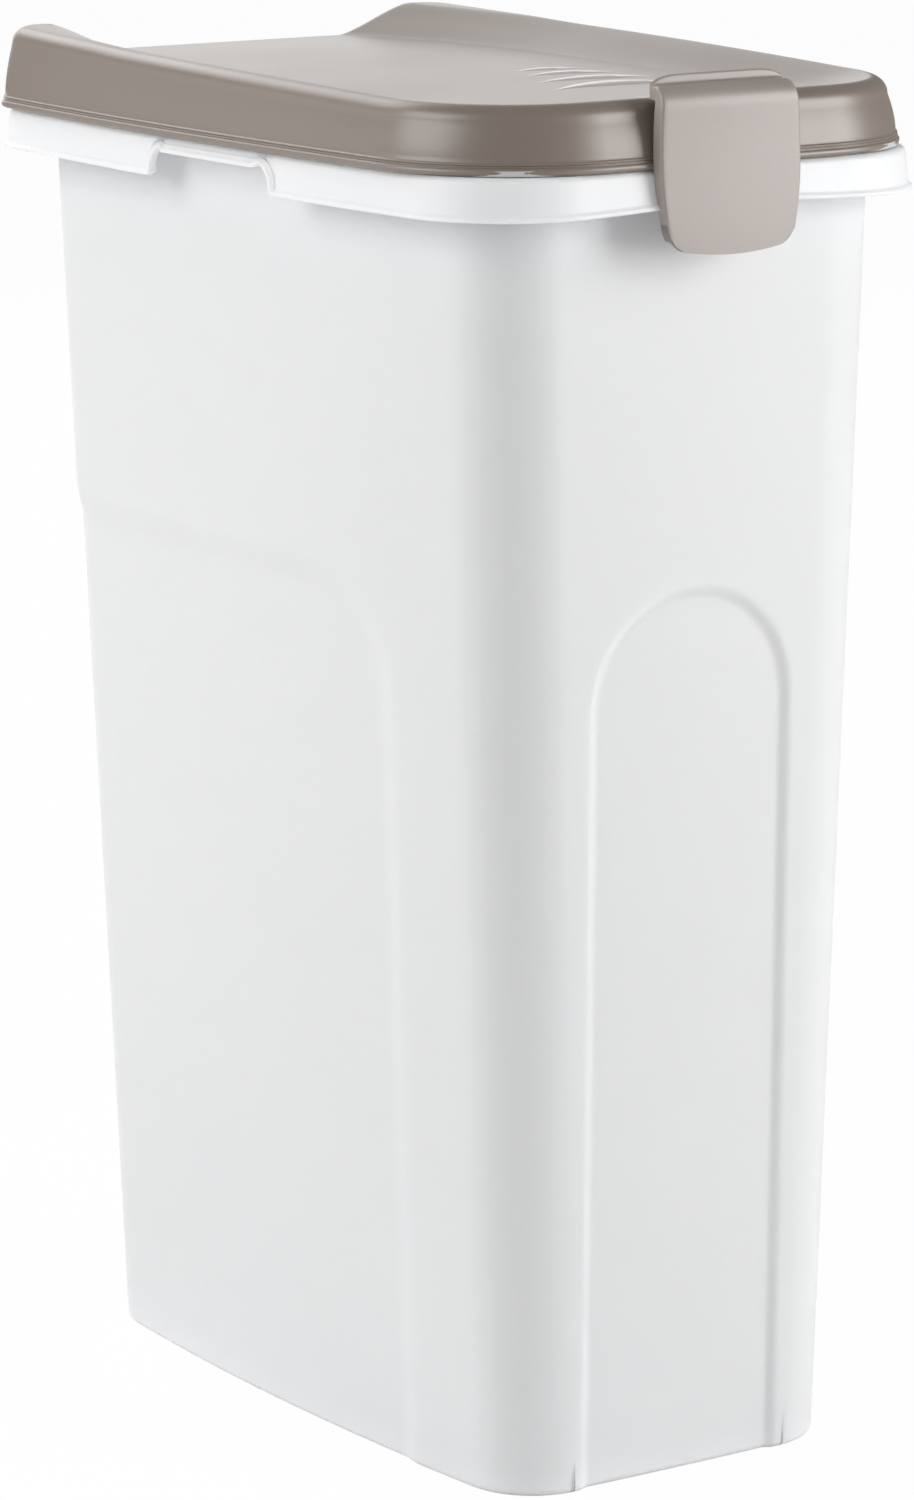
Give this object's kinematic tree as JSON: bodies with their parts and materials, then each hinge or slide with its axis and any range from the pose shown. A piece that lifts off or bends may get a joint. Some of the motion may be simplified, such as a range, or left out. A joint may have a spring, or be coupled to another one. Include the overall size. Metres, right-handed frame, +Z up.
{
  "type": "pet food storage container",
  "caption": "Tall tapered food bin with rolled rim, hinged drop-centre lid and an over-edge latch clip.",
  "frame": {"origin": "middle of the flat underside that the bin stands on", "axes": "+Z up, -Y towards the latch, X across the short width"},
  "size_m": [0.2164, 0.3494, 0.5005],
  "materials": {
    "frosted_body": "translucent frosted moulded plastic",
    "taupe_lid": "satin moulded plastic with fine grain",
    "taupe_latch": "satin moulded plastic with fine grain",
    "seal": "soft matt seal"
  },
  "bodies": {
    "bin": {"bin_body": "frosted_body"},
    "lid": {"lid": "taupe_lid", "lid_seal": "seal"},
    "latch": {"latch_clip": "taupe_latch"}
  },
  "joints": [
    {"name": "lid_hinge", "type": "hinge", "parent": "bin", "child": "lid", "pos_m": [0, 0.175, 0.462], "axis": [-1, 0, 0], "range_deg": [0, 105]},
    {"name": "latch_pivot", "type": "hinge", "parent": "lid", "child": "latch", "pos_m": [0, -0.1588, 0.4936], "axis": [-1, 0, 0], "range_deg": [0, 70]}
  ]
}
